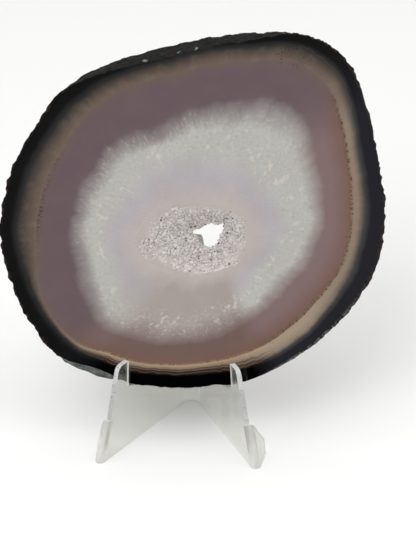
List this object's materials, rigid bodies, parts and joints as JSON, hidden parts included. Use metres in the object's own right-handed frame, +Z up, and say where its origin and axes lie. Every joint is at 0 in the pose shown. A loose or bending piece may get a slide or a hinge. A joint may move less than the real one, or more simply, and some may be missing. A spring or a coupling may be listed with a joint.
{
  "type": "agate slice",
  "caption": "Polished banded agate slice with a crystal-lined hollow and a small through hole, leaning in a clear one-piece plastic display easel.",
  "frame": {"origin": "on the table, under the middle of the whole object's box", "axes": "+Z up, +X to the right as the polished face is seen, and the polished face looks towards -Y and a little upwards"},
  "size_m": [0.1202, 0.0524, 0.126],
  "materials": {
    "agate": "polished front face with mauve, grey, cream and near-black bands, and a dull rough skin round the edge",
    "quartz": "crust of small sparkling grey-white quartz crystals",
    "clear_plastic": "clear bent acrylic sheet, smooth and glossy, with slightly rounded cut edges"
  },
  "bodies": {
    "root": {"agate_slice": "agate", "druse_crust": "quartz", "easel": "clear_plastic"}
  },
  "joints": []
}
